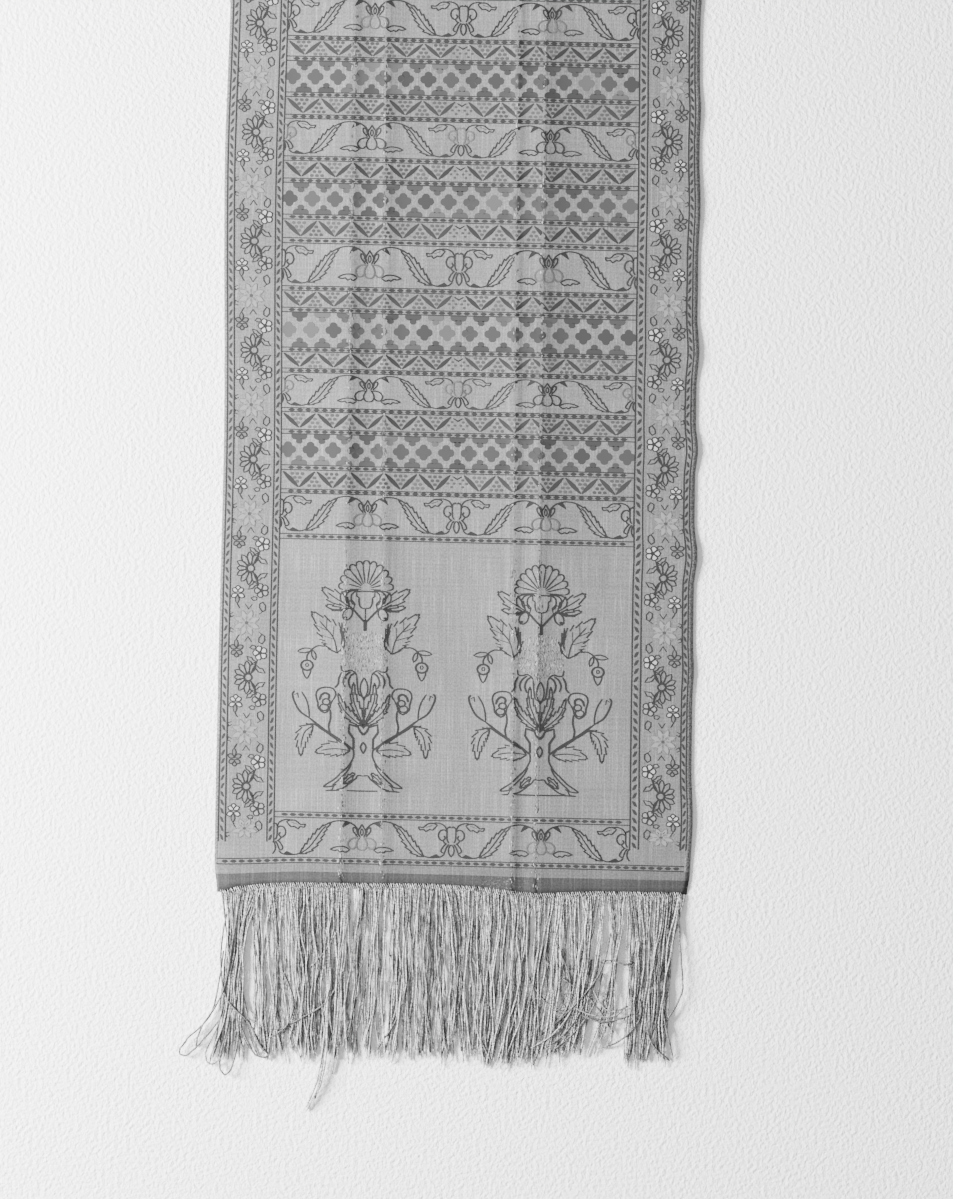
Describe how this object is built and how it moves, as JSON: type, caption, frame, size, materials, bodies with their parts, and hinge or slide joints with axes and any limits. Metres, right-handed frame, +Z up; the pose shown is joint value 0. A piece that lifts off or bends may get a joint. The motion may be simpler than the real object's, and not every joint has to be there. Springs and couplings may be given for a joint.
{
  "type": "sash",
  "caption": "Long woven silk sash laid flat at full length, patterned in bands, with flower borders, pressed creases and a thread fringe at each end.",
  "frame": {"origin": "middle of the underside of the cloth, on the surface that it rests on", "axes": "+Y along the cloth, away from the end that is shown; +Z up out of its face; +X across it, to the right as the shown end faces the viewer"},
  "size_m": [0.3821, 3.7551, 0.0045],
  "materials": {
    "silk": "woven silk, dull with a soft sheen, patterned in darker and paler greys",
    "thread": "twisted silk thread, mottled"
  },
  "bodies": {
    "root": {"web": "silk", "fringe_near": "thread", "fringe_far": "thread"}
  },
  "joints": []
}
